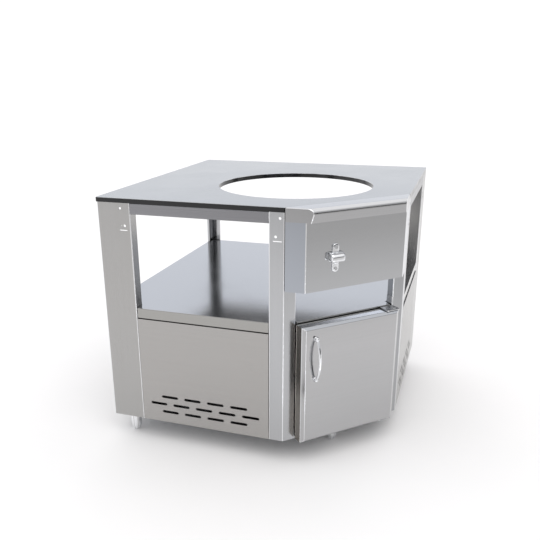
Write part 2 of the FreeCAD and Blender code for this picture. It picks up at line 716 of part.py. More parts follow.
def door_skin():
    outer = door_block(0.0, DOOR_FOLD)
    inner = door_block(SKIN, DOOR_FOLD - SKIN)
    return outer.cut(inner).cut(door_bush_hole(BUSH)).cut(handle_holes())


def door_liner():
    """Shallow pan that closes the door's back."""
    half = DOOR_WIDTH / 2.0 - SKIN
    low = DOOR_BOTTOM + SKIN
    high = DOOR_TOP - SKIN
    front = DOOR_REAR - DOOR_LINER_DEPTH
    pan = box(-half, half, front, DOOR_REAR, low, high)
    hollow = box(-half + DOOR_LINER, half - DOOR_LINER, front - PAST, DOOR_REAR - DOOR_LINER,
                 low + DOOR_LINER, high - DOOR_LINER)
    return pan.cut(hollow).cut(door_bush_hole(BUSH))


def door_handle():
    """Bow handle: two bosses and a bar bent in one arc."""
    front = -DEPTH / 2.0 + HANDLE_BAR
    near = DOOR_FRONT - HANDLE_END_REACH
    middle = (HANDLE_LOW + HANDLE_HIGH) / 2.0
    low = V(HANDLE_X, near, HANDLE_LOW)
    high = V(HANDLE_X, near, HANDLE_HIGH)
    path = Part.Wire([Part.Arc(low, V(HANDLE_X, front, middle), high).toShape()])
    start = path.Edges[0].tangentAt(path.Edges[0].FirstParameter)
    ring = Part.Wire([Part.makeCircle(HANDLE_BAR, low, start)])
    bar = path.makePipeShell([ring], True, False)
    bosses = [rod(HANDLE_BOSS, V(x, DOOR_FRONT, z), V(0, -1, 0), HANDLE_BOSS_REACH)
              for x, z in handle_ends()]
    return joined([bar] + bosses).cut(handle_holes())


def handle_screws():
    screws = []
    for x, z in handle_ends():
        seat = V(x, DOOR_FRONT + SKIN, z)
        shank = rod(HANDLE_SCREW, seat, V(0, -1, 0), HANDLE_SCREW_REACH)
        head = rod(2 * HANDLE_SCREW, seat, V(0, 1, 0), HANDLE_SCREW_HEAD_HEIGHT)
        screws.append(shank.fuse(head).removeSplitter())
    return Part.makeCompound(screws)


def hinge_bushes():
    """Flanged bushes in the door's top and bottom edges."""
    bore = door_bush_hole(PIN_RADIUS + RUNNING)
    top = V(HINGE_X, HINGE_Y, DOOR_TOP)
    low = V(HINGE_X, HINGE_Y, DOOR_BOTTOM)
    upper = joined([rod(BUSH, top, V(0, 0, -1), BUSH_REACH),
                    rod(BUSH_FLANGE, top, V(0, 0, 1), BUSH_FLANGE_TOP)])
    lower = joined([rod(BUSH, low, V(0, 0, 1), BUSH_REACH),
                    rod(BUSH_FLANGE, low, V(0, 0, -1), BUSH_FLANGE_LOW)])
    return Part.makeCompound([upper.cut(bore), lower.cut(bore)])


CATCH_Z = 305.0            # middle height of the magnet catch and its strike
CATCH_HALF_HEIGHT = 23.0
CATCH_WIDTH = 13.0
CATCH_SETBACK = 1.0        # behind the body's front face
CATCH_DEPTH = 24.0
CATCH_EDGE = 2.0
STRIKE_HALF_HEIGHT = 20.0
STRIKE = 1.5
STRIKE_X = (-189.0, -169.0)


def catch_strike():
    return box(*STRIKE_X, DOOR_REAR, DOOR_REAR + STRIKE,
               CATCH_Z - STRIKE_HALF_HEIGHT, CATCH_Z + STRIKE_HALF_HEIGHT)


# ---- hinge brackets and catch on the body ---------------------------------------------------------
BRACKET_TOP_Z = 514.0
BRACKET_TOP_FRONT = -590.0
BRACKET_LOW_FRONT = -582.0
BRACKET_INNER_X = 143.0
BRACKET_CORNER = 5.0
BRACKET_TOP_REAR = FRONT + 1.5
BRACKET_LOW_REAR = FRONT + 40.0
BRACKET_TONGUE_HEIGHT = 34.0
BRACKET_SCREW = 2.5
BRACKET_SCREW_LENGTH = 12.0
BRACKET_SCREW_HEAD = 4.5   # radius
BRACKET_SCREW_HEAD_HEIGHT = 2.5
BRACKET_SCREWS = ((-530.0, 526.0), (-530.0, 540.0))      # y, z
PIN_HEAD = 7.0
PIN_HEAD_HEIGHT = 2.5
PIN_TOP_REACH = 13.0
PIN_LOW_REACH = 14.0


def bracket_plate(front, rear, z):
    """A level plate beside the post, with its two front corners rounded."""
    plate = box(BRACKET_INNER_X, MOUTH_HALF, front, rear, z, z + HINGE_LEAF)
    corners = [e for e in plate.Edges if abs(e.Length - HINGE_LEAF) < TINY
               and e.CenterOfMass.y < front + PAST]
    return plate.makeFillet(BRACKET_CORNER, corners).cut(door_bush_hole(PIN_RADIUS))


def hinge_bracket_top():
    """Plate over the door's top corner, with a leaf that is screwed to the post's inner fold."""
    wall = MOUTH_HALF
    tongue = box(wall - HINGE_LEAF, wall, FRONT, FRONT + FRONT_RETURN - 2.0,
                 BRACKET_TOP_Z, BRACKET_TOP_Z + BRACKET_TONGUE_HEIGHT)
    return joined([bracket_plate(BRACKET_TOP_FRONT, BRACKET_TOP_REAR, BRACKET_TOP_Z),
                   tongue]).cut(bracket_screw_holes())


def hinge_bracket_bottom():
    """Plate under the body's bottom edge that carries the lower pin."""
    return bracket_plate(BRACKET_LOW_FRONT, BRACKET_LOW_REAR, BODY_BOTTOM - HINGE_LEAF)


def hinge_pin_top():
    z = BRACKET_TOP_Z
    pin = rod(PIN_RADIUS, V(HINGE_X, HINGE_Y, z - PIN_TOP_REACH), V(0, 0, 1),
              PIN_TOP_REACH + HINGE_LEAF)
    head = rod(PIN_HEAD, V(HINGE_X, HINGE_Y, z + HINGE_LEAF), V(0, 0, 1), PIN_HEAD_HEIGHT)
    return joined([pin, head])


def hinge_pin_bottom():
    z = BODY_BOTTOM - HINGE_LEAF
    pin = rod(PIN_RADIUS, V(HINGE_X, HINGE_Y, z), V(0, 0, 1), HINGE_LEAF + PIN_LOW_REACH)
    head = rod(PIN_HEAD, V(HINGE_X, HINGE_Y, z), V(0, 0, -1), PIN_HEAD_HEIGHT)
    return joined([pin, head])


def bracket_screws():
    screws = []
    for y, z in BRACKET_SCREWS:
        seat = V(MOUTH_HALF - HINGE_LEAF, y, z)
        shank = rod(BRACKET_SCREW, seat, V(1, 0, 0), BRACKET_SCREW_LENGTH)
        head = rod(BRACKET_SCREW_HEAD, seat, V(-1, 0, 0), BRACKET_SCREW_HEAD_HEIGHT)
        screws.append(shank.fuse(head).removeSplitter())
    return Part.makeCompound(screws)


def bracket_screw_holes():
    return Part.makeCompound([rod(BRACKET_SCREW, V(MOUTH_HALF - THROUGH / 2.0, y, z), V(1, 0, 0), THROUGH)
                              for y, z in BRACKET_SCREWS])


def magnet_catch():
    inner = -MOUTH_HALF + CATCH_WIDTH
    front = FRONT + CATCH_SETBACK
    body = box(-MOUTH_HALF, inner, front, front + CATCH_DEPTH,
               CATCH_Z - CATCH_HALF_HEIGHT, CATCH_Z + CATCH_HALF_HEIGHT)
    return body.makeFillet(CATCH_EDGE, [e for e in body.Edges if abs(e.CenterOfMass.x - inner) < TINY])


# ---- feet -----------------------------------------------------------------------------------------
def foot_places():
    """Left, right and back corners, and the middle of the front."""
    left = room_point(FOOT_INSET, SIDE_FACE + FOOT_INSET)
    back = room_point(FOOT_INSET, -FOOT_INSET)
    return {"left": left, "right": (-left[0], left[1]), "back": back, "front": (0.0, FOOT_FRONT_Y)}


def foot_plates():
    heights = (BODY_BOTTOM, BODY_BOTTOM + FOOT_PLATE)
    left = in_room(box(WALL_GAP + REAR_LIP + SHEET, REAR_EDGE - BEND,
                       SIDE_FACE + SHEET, SIDE_FACE + FOOT_PLATE_SIDE, *heights))
    back = in_room(box(WALL_GAP + LIP, FOOT_PLATE_SIDE, -FOOT_PLATE_SIDE, -WALL_GAP - LIP, *heights))
    front = box(-FOOT_PLATE_SIDE / 2.0, FOOT_PLATE_SIDE / 2.0, FRONT + LIP_INSET + SHEET,
                FOOT_FRONT_Y + FOOT_PLATE_REAR, *heights)
    return Part.makeCompound([left, mirrored(left), back, front]).cut(stud_holes())


def stud_holes():
    return Part.makeCompound([rod(STUD_RADIUS + RUNNING, V(x, y, 0), V(0, 0, 1), SHELF_TOP)
                              for x, y in foot_places().values()])


def foot_sleeves():
    sleeves = []
    for x, y in foot_places().values():
        tube = rod(SLEEVE_RADIUS, V(x, y, SLEEVE_BOTTOM), V(0, 0, 1), BODY_BOTTOM - SLEEVE_BOTTOM)
        low = [e for e in tube.Edges if abs(e.CenterOfMass.z - SLEEVE_BOTTOM) < TINY]
        sleeves.append(tube.makeFillet(SLEEVE_EDGE, low))
    return Part.makeCompound(sleeves).cut(stud_holes())


def foot(x, y):
    """Bullet-shaped tip on a stud that screws up into the sleeve."""
    outline = [(0, 0), (TIP_SOLE_RADIUS, 0), TIP_KNEE, (TIP_RADIUS, TIP_TOP - TIP_RIM),
               (TIP_RADIUS, TIP_TOP), (STUD_RADIUS, TIP_TOP), (STUD_RADIUS, STUD_TOP), (0, STUD_TOP),
               (0, 0)]
    wire = Part.makePolygon([V(r, 0, z) for r, z in outline])
    tip = Part.Face(wire).revolve(V(0, 0, 0), V(0, 0, 1), 360)
    tip.translate(V(x, y, 0))
    return tip


# ---- the whole cabinet ----------------------------------------------------------------------------
def build():
    nodes = {
        "worktop_skin": worktop_skin(),
        "worktop_core": worktop_core(),
        "core_screws": core_screws(),
        "post_rear_left": rear_post(),
        "post_front_left": front_post(),
        "post_back": back_post(),
        "shelf": shelf(),
        "shelf_stiffeners": shelf_stiffeners(),
        "floor_plate": floor_plate(),
        "side_panel_left": side_panel(),
        "back_panel_left": back_panel(),
        "fascia_brackets": fascia_brackets(),
        "bottle_opener": bottle_opener(),
        "opener_screws": opener_screws(),
        "door_skin": door_skin(),
        "door_liner": door_liner(),
        "door_handle": door_handle(),
        "handle_screws": handle_screws(),
        "hinge_bushes": hinge_bushes(),
        "catch_strike": catch_strike(),
        "hinge_bracket_top": hinge_bracket_top(),
        "hinge_bracket_bottom": hinge_bracket_bottom(),
        "hinge_pin_top": hinge_pin_top(),
        "hinge_pin_bottom": hinge_pin_bottom(),
        "bracket_screws": bracket_screws(),
        "magnet_catch": magnet_catch(),
        "foot_plates": foot_plates(),
        "foot_sleeves": foot_sleeves(),
    }
    panel, nose = split_at(fascia(), APRON_BOTTOM)
    nodes["fascia_panel"] = panel.cut(opener_screw_holes())
    nodes["fascia_nose"] = nose
    nodes["post_rear_right"] = mirrored(nodes["post_rear_left"])
    nodes["post_front_right"] = mirrored(nodes["post_front_left"]).cut(bracket_screw_holes())
    nodes["side_panel_right"] = mirrored(nodes["side_panel_left"])
    nodes["back_panel_right"] = mirrored(nodes["back_panel_left"])
    nodes.update(make_rails())
    for name, (x, y) in foot_places().items():
        nodes["foot_" + name] = foot(x, y)
    return nodes


os.makedirs("parts", exist_ok=True)
for node_name, node_shape in build().items():
    node_shape.exportStep(os.path.join("parts", node_name + ".step"))
    print("%-22s solids %2d  volume %10.0f  valid %s"
          % (node_name, len(node_shape.Solids), node_shape.Volume, node_shape.isValid()))
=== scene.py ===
import json
import math

import bmesh
import bpy
import numpy as np
from mathutils import Matrix, Vector

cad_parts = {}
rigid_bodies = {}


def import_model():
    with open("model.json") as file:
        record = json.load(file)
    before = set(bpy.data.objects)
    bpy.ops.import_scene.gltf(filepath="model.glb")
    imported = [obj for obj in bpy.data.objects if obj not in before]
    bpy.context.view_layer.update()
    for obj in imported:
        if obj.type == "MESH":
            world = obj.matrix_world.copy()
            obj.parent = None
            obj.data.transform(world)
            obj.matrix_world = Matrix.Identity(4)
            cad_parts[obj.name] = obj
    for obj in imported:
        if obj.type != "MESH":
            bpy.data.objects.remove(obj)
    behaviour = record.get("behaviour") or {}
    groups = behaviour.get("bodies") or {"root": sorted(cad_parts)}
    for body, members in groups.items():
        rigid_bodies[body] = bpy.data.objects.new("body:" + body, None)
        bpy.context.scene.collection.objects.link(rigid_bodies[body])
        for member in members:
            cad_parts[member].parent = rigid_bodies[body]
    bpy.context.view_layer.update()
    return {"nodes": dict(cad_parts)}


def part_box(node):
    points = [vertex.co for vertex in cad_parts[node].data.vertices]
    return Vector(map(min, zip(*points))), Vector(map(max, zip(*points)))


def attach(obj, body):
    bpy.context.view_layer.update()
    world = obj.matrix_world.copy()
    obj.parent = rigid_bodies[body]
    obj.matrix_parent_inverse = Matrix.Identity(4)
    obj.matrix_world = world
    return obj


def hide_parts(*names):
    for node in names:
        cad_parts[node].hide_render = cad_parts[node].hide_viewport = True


# Corner cabinet for a round ceramic grill, in brushed stainless steel.  Metres, +Z up, door at -Y.
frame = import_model()
MM = 0.001


# ---- materials ------------------------------------------------------------------------------------
def linear(code):
    """Linear RGBA of an sRGB hex code such as "c4c6c8"."""
    values = [int(code[i:i + 2], 16) / 255.0 for i in (0, 2, 4)]
    return [v / 12.92 if v <= 0.04045 else ((v + 0.055) / 1.055) ** 2.4 for v in values] + [1.0]


def add(tree, kind, inputs=None, **settings):
    """Add a shader node: settings are its properties, inputs its sockets by name or number."""
    made = tree.nodes.new("ShaderNode" + kind)
    for key, value in settings.items():
        setattr(made, key, value)
    for key, value in (inputs or {}).items():
        if isinstance(value, bpy.types.NodeSocket):
            tree.links.new(value, made.inputs[key])
        else:
            made.inputs[key].default_value = value
    return made


NOISE_LOW, NOISE_HIGH = 0.25, 0.75        # nearly all of a noise pattern lies between these


def spread(tree, value, low, high):
    """A noise pattern stretched to the range low to high."""
    ranged = add(tree, "MapRange", {"Value": value, "From Min": NOISE_LOW, "From Max": NOISE_HIGH,
                                    "To Min": low, "To Max": high})
    return ranged.outputs["Result"]


def mixed(tree, factor, first, second):
    """The first colour where the factor is 0, the second where it is 1."""
    mix = add(tree, "Mix", {"Factor": factor, "A": first, "B": second}, data_type="RGBA")
    return mix.outputs["Result"]


def new_material(name):
    """An empty node material and its tree."""
    made = bpy.data.materials.new(name)
    made.use_nodes = True
    made.node_tree.nodes.clear()
    return made, made.node_tree


def close(tree, shader):
    """Send the finished shader to the surface."""
    add(tree, "OutputMaterial", {"Surface": shader.outputs["BSDF"]})


def grain(tree, turn, length, width, detail=3.0):
    """Streaks of real length and width (metres) along a level direction, turned from +X by an angle
    in degrees, or upright when turn is "up"."""
    place = add(tree, "TexCoord").outputs["Object"]
    sizes = (width, width, length) if turn == "up" else (length, width, width)
    angle = 0.0 if turn == "up" else math.radians(turn)
    mapped = add(tree, "Mapping", {"Vector": place, "Rotation": (0, 0, angle), "Scale": sizes},
                 vector_type="TEXTURE")
    return add(tree, "TexNoise", {"Vector": mapped.outputs["Vector"], "Scale": 1.0,
                                  "Detail": detail, "Roughness": 0.6}).outputs["Fac"]


def blotches(tree, size, detail=3.0):
    """Soft uneven patches about this size across (metres)."""
    place = add(tree, "TexCoord").outputs["Object"]
    return add(tree, "TexNoise", {"Vector": place, "Scale": 1.0 / size, "Detail": detail,
                                  "Roughness": 0.5}).outputs["Fac"]


SIDE_BEVEL_WIDTH, SIDE_BEVEL_DEPTH = 12.0, 8.5         # of the bevel at the door's sides, mm
SIDE_BEVEL_FACING = SIDE_BEVEL_DEPTH / math.hypot(SIDE_BEVEL_WIDTH, SIDE_BEVEL_DEPTH)
FACING_PLAY = 0.025                       # a facing this close to the bevel's counts as the bevel's
FLAT_SINE, BENT_SINE = 0.02, 0.10         # below the first a face is flat, above the second bent


def upright_bends(tree):
    """1 where a surface faces between the eight level directions that flat sheets face, else 0:
    that is the outside of an upright bend.  With x and y the level parts of the normal, the sine
    of four times its angle is 4xy(xx - yy)."""
    facing = add(tree, "SeparateXYZ", {"Vector": add(tree, "TexCoord").outputs["Normal"]})
    x, y = facing.outputs["X"], facing.outputs["Y"]
    across = add(tree, "Math", {0: x, 1: y}, operation="MULTIPLY").outputs[0]
    plus = add(tree, "Math", {0: x, 1: y}, operation="ADD").outputs[0]
    minus = add(tree, "Math", {0: x, 1: y}, operation="SUBTRACT").outputs[0]
    spans = add(tree, "Math", {0: plus, 1: minus}, operation="MULTIPLY").outputs[0]
    sine = add(tree, "Math", {0: across, 1: spans}, operation="MULTIPLY").outputs[0]
    size = add(tree, "Math", {0: sine}, operation="ABSOLUTE").outputs[0]
    return add(tree, "MapRange", {"Value": size, "From Min": FLAT_SINE, "From Max": BENT_SINE},
               interpolation_type="SMOOTHSTEP").outputs["Result"]


LEANING, FLAT = (0.10, 0.60), (0.80, 0.98)             # how far up a face that leans or lies faces


def top_faces(tree, start, end):
    """0 to 1 as a surface faces further up, from start to end."""
    facing = add(tree, "SeparateXYZ", {"Vector": add(tree, "TexCoord").outputs["Normal"]})
    return add(tree, "MapRange", {"Value": facing.outputs["Z"], "From Min": start, "From Max": end},
               interpolation_type="SMOOTHSTEP").outputs["Result"]


def sideways(tree):
    """How far a surface faces left or right, 0 to 1."""
    facing = add(tree, "SeparateXYZ", {"Vector": add(tree, "TexCoord").outputs["Normal"]})
    return add(tree, "Math", {0: facing.outputs["X"]}, operation="ABSOLUTE").outputs[0]


def side_faces(tree, start, end):
    """0 to 1 as a surface faces further left or right, from start to end."""
    return add(tree, "MapRange", {"Value": sideways(tree), "From Min": start, "From Max": end}
               ).outputs["Result"]


def off_bevel(tree, mask):
    """The painted highlight's mask without the door's flat side bevels, which lean between the eight
    directions.
    """
    bevel = add(tree, "Math", {0: sideways(tree), 1: SIDE_BEVEL_FACING, 2: FACING_PLAY},
                operation="COMPARE").outputs[0]
    return add(tree, "Math", {0: mask, 1: bevel}, operation="SUBTRACT", use_clamp=True).outputs[0]


STREAK_WIDTH = 5 * MM                     # of the broader tonal streaks
SMEAR_SIZE = 0.16                         # of a hand's wiping marks
SCRATCH_ROUGHNESS = 0.03                  # how far scratches change the roughness


def brushed(name, light, dark, rough, turn=0, streak=0.22, line=0.7 * MM, depth=0.005 * MM,
            smear=0.06, bend="f2f3f5", painted_top_tone=None, edge=None, side=None,
            painted_side_range=(0.96, 0.995), bevelled=False):
    """Belt-brushed stainless sheet: fine straight scratches, broader tonal streaks along them,
    faint handling smears that change only the roughness, and a painted highlight down each
    upright fold, which takes the bend colour.  Real scratches are about 0.05 mm wide, too fine to
    show, so they are drawn as wide as line says.  The colour given for faces that face up is
    painted light and shade, the edge colour is a painted highlight on flat top faces, and the
    colour given for faces that face left or right is painted light and shade."""
    made, tree = new_material(name)
    scratches = grain(tree, turn, streak, line)
    streaks = grain(tree, turn, 4 * streak, STREAK_WIDTH, 2.0)
    patches = blotches(tree, SMEAR_SIZE)
    tone = mixed(tree, spread(tree, streaks, 0.0, 1.0), linear(dark), linear(light))
    fine = spread(tree, scratches, -SCRATCH_ROUGHNESS, SCRATCH_ROUGHNESS)
    wide = spread(tree, patches, rough - smear / 2, rough + smear / 2)
    total = add(tree, "Math", {0: fine, 1: wide}, operation="ADD").outputs[0]
    # Painted highlight: the outside of each upright fold takes the bend colour.
    painted_bend_highlight = upright_bends(tree)
    # Painted light and shade: faces that face up take the colour given for them.
    if painted_top_tone:
        tone = mixed(tree, top_faces(tree, *LEANING), tone, linear(painted_top_tone))
    # Painted highlight: flat top faces take the edge colour.
    if edge:
        tone = mixed(tree, top_faces(tree, *FLAT), tone, linear(edge))
    # Painted light and shade: faces that face left or right take the side colour.
    if side:
        tone = mixed(tree, side_faces(tree, *painted_side_range), tone, linear(side))
    if bevelled:
        painted_bend_highlight = off_bevel(tree, painted_bend_highlight)
    bump = add(tree, "Bump", {"Height": scratches, "Strength": 0.5, "Distance": depth})
    close(tree, add(tree, "BsdfPrincipled", {
        "Base Color": mixed(tree, painted_bend_highlight, tone, linear(bend)), "Metallic": 1.0,
        "Roughness": total, "Normal": bump.outputs["Normal"]}))
    return made


HAZE_SIZE = 3 * MM                        # of the patches of haze on plating
CLOUD_SIZE = 45 * MM                      # of uneven gloss on a moulded surface


def bright(name, light, dark, rough, wave, depth):
    """Zinc casting, buffed and plated: mirror bright, with gentle waves left by the buffing wheel
    and a little haze."""
    made, tree = new_material(name)
    waves = blotches(tree, wave, 2.0)
    haze = blotches(tree, HAZE_SIZE)
    bump = add(tree, "Bump", {"Height": waves, "Strength": 0.6, "Distance": depth})
    close(tree, add(tree, "BsdfPrincipled", {
        "Base Color": mixed(tree, spread(tree, haze, 0.0, 1.0), linear(dark), linear(light)),
        "Metallic": 1.0, "Roughness": spread(tree, haze, rough - 0.03, rough + 0.04),
        "Normal": bump.outputs["Normal"]}))
    return made


def moulded(name, light, dark, rough, size, depth):
    """Plastic or laminate: a fine surface texture of the given size and depth, with slightly uneven
    gloss."""
    made, tree = new_material(name)
    texture = blotches(tree, size, 4.0)
    cloud = blotches(tree, CLOUD_SIZE)
    bump = add(tree, "Bump", {"Height": texture, "Strength": 0.5, "Distance": depth})
    close(tree, add(tree, "BsdfPrincipled", {
        "Base Color": mixed(tree, spread(tree, cloud, 0.0, 1.0), linear(dark), linear(light)),
        "Metallic": 0.0, "IOR": 1.5,
        "Roughness": spread(tree, cloud, rough - 0.04, rough + 0.06),
        "Normal": bump.outputs["Normal"]}))
    return made


# One finish for each kind of piece: the grain runs level on panels and rails and upright on posts,
# and the front, the door and the shelf, which are handled and wiped most, are smoothest.
LEFT_SIDE, RIGHT_SIDE = -45, 45           # grain along the joining sides, degrees from +X
# Base tones are painted light and shade: each piece's copy of the one steel is set lighter, darker,
# warmer or cooler by how light falls on it.  The worktop is lighter; the right post, the right side,
# the shelf, the nose and the rails are darker, the rails as painted shade under the worktop; the
# left side is warmer.  The door's top and sides, the nose's roll and the shelf's top also get
# painted light and shade by which way they face.
sheet = {
    "front": brushed("brushed_stainless_front", "b7b8ba", "b4b5b7", 0.13, smear=0.04,
                     side="a5a9b0", painted_side_range=(0.60, 0.70)),
    "door": brushed("brushed_stainless_door", "b4b4b5", "b1b1b2", 0.13, smear=0.04,
                    side="98928b", painted_top_tone="abaeb3", edge="e6e9ee", bevelled=True),
    "up": brushed("brushed_stainless_posts", "b6b7b9", "b3b4b6", 0.20, turn="up"),
    "right_post": brushed("brushed_stainless_right_post", "a6a7a9", "a3a4a6", 0.20, turn="up"),
    "left": brushed("brushed_stainless_left", "aba9a7", "a8a6a4", 0.25, turn=LEFT_SIDE),
    "right": brushed("brushed_stainless_right", "a4a3a1", "a1a09e", 0.25, turn=RIGHT_SIDE),
    "nose": brushed("brushed_stainless_nose", "a9a9aa", "a6a6a7", 0.19, painted_top_tone="cecfd1"),
    "worktop": brushed("brushed_stainless_worktop", "bec0c2", "bbbdbf", 0.24, streak=0.3),
    "shelf": brushed("brushed_stainless_shelf", "a3a29f", "a09f9c", 0.15, streak=0.3, smear=0.05,
                     painted_top_tone="cbccce"),
    "rail": brushed("brushed_stainless_rails", "8f8f92", "8a8a8d", 0.25, turn=LEFT_SIDE),
    "rear_post": brushed("brushed_stainless_rear_posts", "abaaa9", "a8a7a5", 0.25, turn="up"),
    "inner": brushed("mill_finish_stainless", "b4b5b6", "afb0b2", 0.36, line=2 * MM, streak=0.05),
    "foot": brushed("turned_stainless_tube", "b4b4b3", "aeaead", 0.25, streak=0.03, line=0.4 * MM),
    "fastener": brushed("plain_steel_fastener", "bfc0c2", "b6b7b9", 0.24, streak=2 * MM,
                        line=0.4 * MM),
}
# Chrome-bright plating on castings, solid laminate with a polished edge, and two moulded plastics.
polished = bright("buffed_bright_plating", "e6e7e9", "dfe1e4", 0.07, 9 * MM, 0.05 * MM)
black_board = moulded("black_laminate_board", "141517", "0c0d0f", 0.16, 0.6 * MM, 0.01 * MM)
black_plastic = moulded("black_moulded_plastic", "1d1d1e", "161617", 0.45, 0.8 * MM, 0.03 * MM)
nylon = moulded("natural_nylon", "e6e4dc", "dbd9d0", 0.42, 0.8 * MM, 0.02 * MM)

# Which look each sub-part of the cabinet has.
LOOKS = {
    "worktop_skin": sheet["worktop"], "shelf": sheet["shelf"], "worktop_core": black_board,
    "magnet_catch": black_plastic, "hinge_bushes": nylon,
    "door_handle": polished, "bottle_opener": polished, "fascia_nose": sheet["nose"],
}
for names, look in (
        (("post_front_left", "post_back"), sheet["up"]),
        (("post_front_right",), sheet["right_post"]),
        (("post_rear_left", "post_rear_right"), sheet["rear_post"]),
        (("top_rail_left", "top_rail_right"), sheet["rail"]),
        (("side_panel_left", "base_rail_left", "back_panel_right",
          "top_rail_back_right", "base_rail_back_right"), sheet["left"]),
        (("side_panel_right", "base_rail_right", "back_panel_left",
          "top_rail_back_left", "base_rail_back_left"), sheet["right"]),
        (("fascia_panel", "top_rail_front", "base_rail_front"), sheet["front"]),
        (("door_skin",), sheet["door"]),
        (("shelf_stiffeners", "floor_plate", "foot_plates", "door_liner", "fascia_brackets"),
         sheet["inner"]),
        (("foot_left", "foot_right", "foot_back", "foot_front", "foot_sleeves"), sheet["foot"]),
        (("core_screws", "opener_screws", "handle_screws", "bracket_screws", "hinge_pin_top",
          "hinge_pin_bottom", "hinge_bracket_top", "hinge_bracket_bottom", "catch_strike"),
         sheet["fastener"])):
    for name in names:
        LOOKS[name] = look

for name, obj in frame["nodes"].items():
    obj.data.materials.clear()
    obj.data.materials.append(LOOKS[name])

# ---- cast and turned pieces -----------------------------------------------------------------------
AROUND = 48                               # columns round a turned or cast piece
ALONG = 65                                # rows along the bow of the handle
MERGE = 0.002 * MM                        # points closer than this are one point


def piece(name, grids, look, body, nodes=()):
    """One closed shell per grid.  A grid is rows x columns x 3 points whose columns run round in a
    ring; its first and last rows have shrunk to a point or a line.  Doubled points are merged and
    the faces turned outwards."""
    mesh = bpy.data.meshes.new(name)
    points, faces, start = [], [], 0
    for grid in grids:
        rows, columns = grid.shape[:2]
        here = start + np.arange(rows * columns).reshape(rows, columns)
        after = np.roll(here, -1, axis=1)
        faces.append(np.stack([here[:-1], after[:-1], after[1:], here[1:]], axis=-1).reshape(-1, 4))
        points.append(grid.reshape(-1, 3))
        start += rows * columns
    mesh.from_pydata(np.concatenate(points).tolist(), [], np.concatenate(faces).tolist())
    shell = bmesh.new()
    shell.from_mesh(mesh)
    bmesh.ops.remove_doubles(shell, verts=shell.verts, dist=MERGE)
    bmesh.ops.dissolve_degenerate(shell, edges=shell.edges, dist=MERGE)
    bmesh.ops.recalc_face_normals(shell, faces=shell.faces)
    shell.to_mesh(mesh)
    shell.free()
    mesh.polygons.foreach_set("use_smooth", [True] * len(mesh.polygons))
    mesh.materials.append(look)
    made = bpy.data.objects.new(name, mesh)
    bpy.context.scene.collection.objects.link(made)
    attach(made, body)
    if nodes:
        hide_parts(*nodes)
    return made


def turned(profile, place):
    """Turned about a level line out of the front: each (reach, radius) of the profile becomes a
    ring of that radius, that far in front of place."""
    reach, radius = np.array(profile).T * MM
    angle = np.arange(AROUND) * 2 * math.pi / AROUND
    ring = np.stack([np.cos(angle), 0 * angle, np.sin(angle)], axis=-1)
    grid = radius[:, None, None] * ring[None]
    grid[..., 1] -= reach[:, None]
    return grid + np.array(place)


def rounded_pad(profile, half_run, place, upright=True):
    """A pad with two round ends, the ends' middles half_run each side of place: each (reach,
    radius) of the profile becomes that outline, that far in front of place."""
    grid = turned(profile, place)
    angle = (np.arange(AROUND) + 0.5) * 2 * math.pi / AROUND
    reach, radius = np.array(profile).T * MM
    x = radius[:, None] * np.cos(angle)
    z = radius[:, None] * np.sin(angle)
    if upright:
        z = z + np.sign(np.sin(angle)) * half_run
    else:
        x = x + np.sign(np.cos(angle)) * half_run
    grid[..., 0] = place[0] + x
    grid[..., 2] = place[2] + z
    return grid


def bow(low, high, end_reach, reach, thick, waist):
    """Round bar along the arc of a circle through three points: the two ends, end_reach out from
    low and high, and the middle, which stands reach out.  With the arc's half length h and rise r,
    the circle's radius is (hh + rr) / 2r.  The bar's radius is thick in its middle and narrows to
    the waist at its ends with the square of the way along."""
    half = (high[2] - low[2]) / 2
    rise = reach - end_reach
    radius = (half ** 2 + rise ** 2) / (2 * rise)
    span = math.asin(half / radius)
    along = np.linspace(-span, span, ALONG)
    share = np.abs(along / span)
    size = thick + (waist - thick) * share ** 2
    out = reach - radius * (1 - np.cos(along))
    centre = np.stack([0 * along + low[0], low[1] - out,
                       (low[2] + high[2]) / 2 + radius * np.sin(along)], axis=-1)
    across = np.array([1.0, 0.0, 0.0])
    outward = np.stack([0 * along, -np.cos(along), np.sin(along)], axis=-1)
    angle = np.arange(AROUND) * 2 * math.pi / AROUND
    ring = (np.cos(angle)[None, :, None] * across
            + np.sin(angle)[None, :, None] * outward[:, None, :])
    grid = centre[:, None, :] + size[:, None, None] * ring
    ends = np.repeat(centre[[0, -1], None, :], AROUND, axis=1)
    return np.concatenate([ends[:1], grid, ends[1:]])


COWL_COLUMNS = 61                         # round the hood, from side to side
COWL_ROWS = 16                            # over its rounded top
COWL_POWER = 0.4                          # of the superellipse: 1 is round, 0 is square
COWL_SHOULDER = 0.45                      # share of its height that is upright
COWL_CROWN = 0.82                         # its top's width, as a share of its rim's


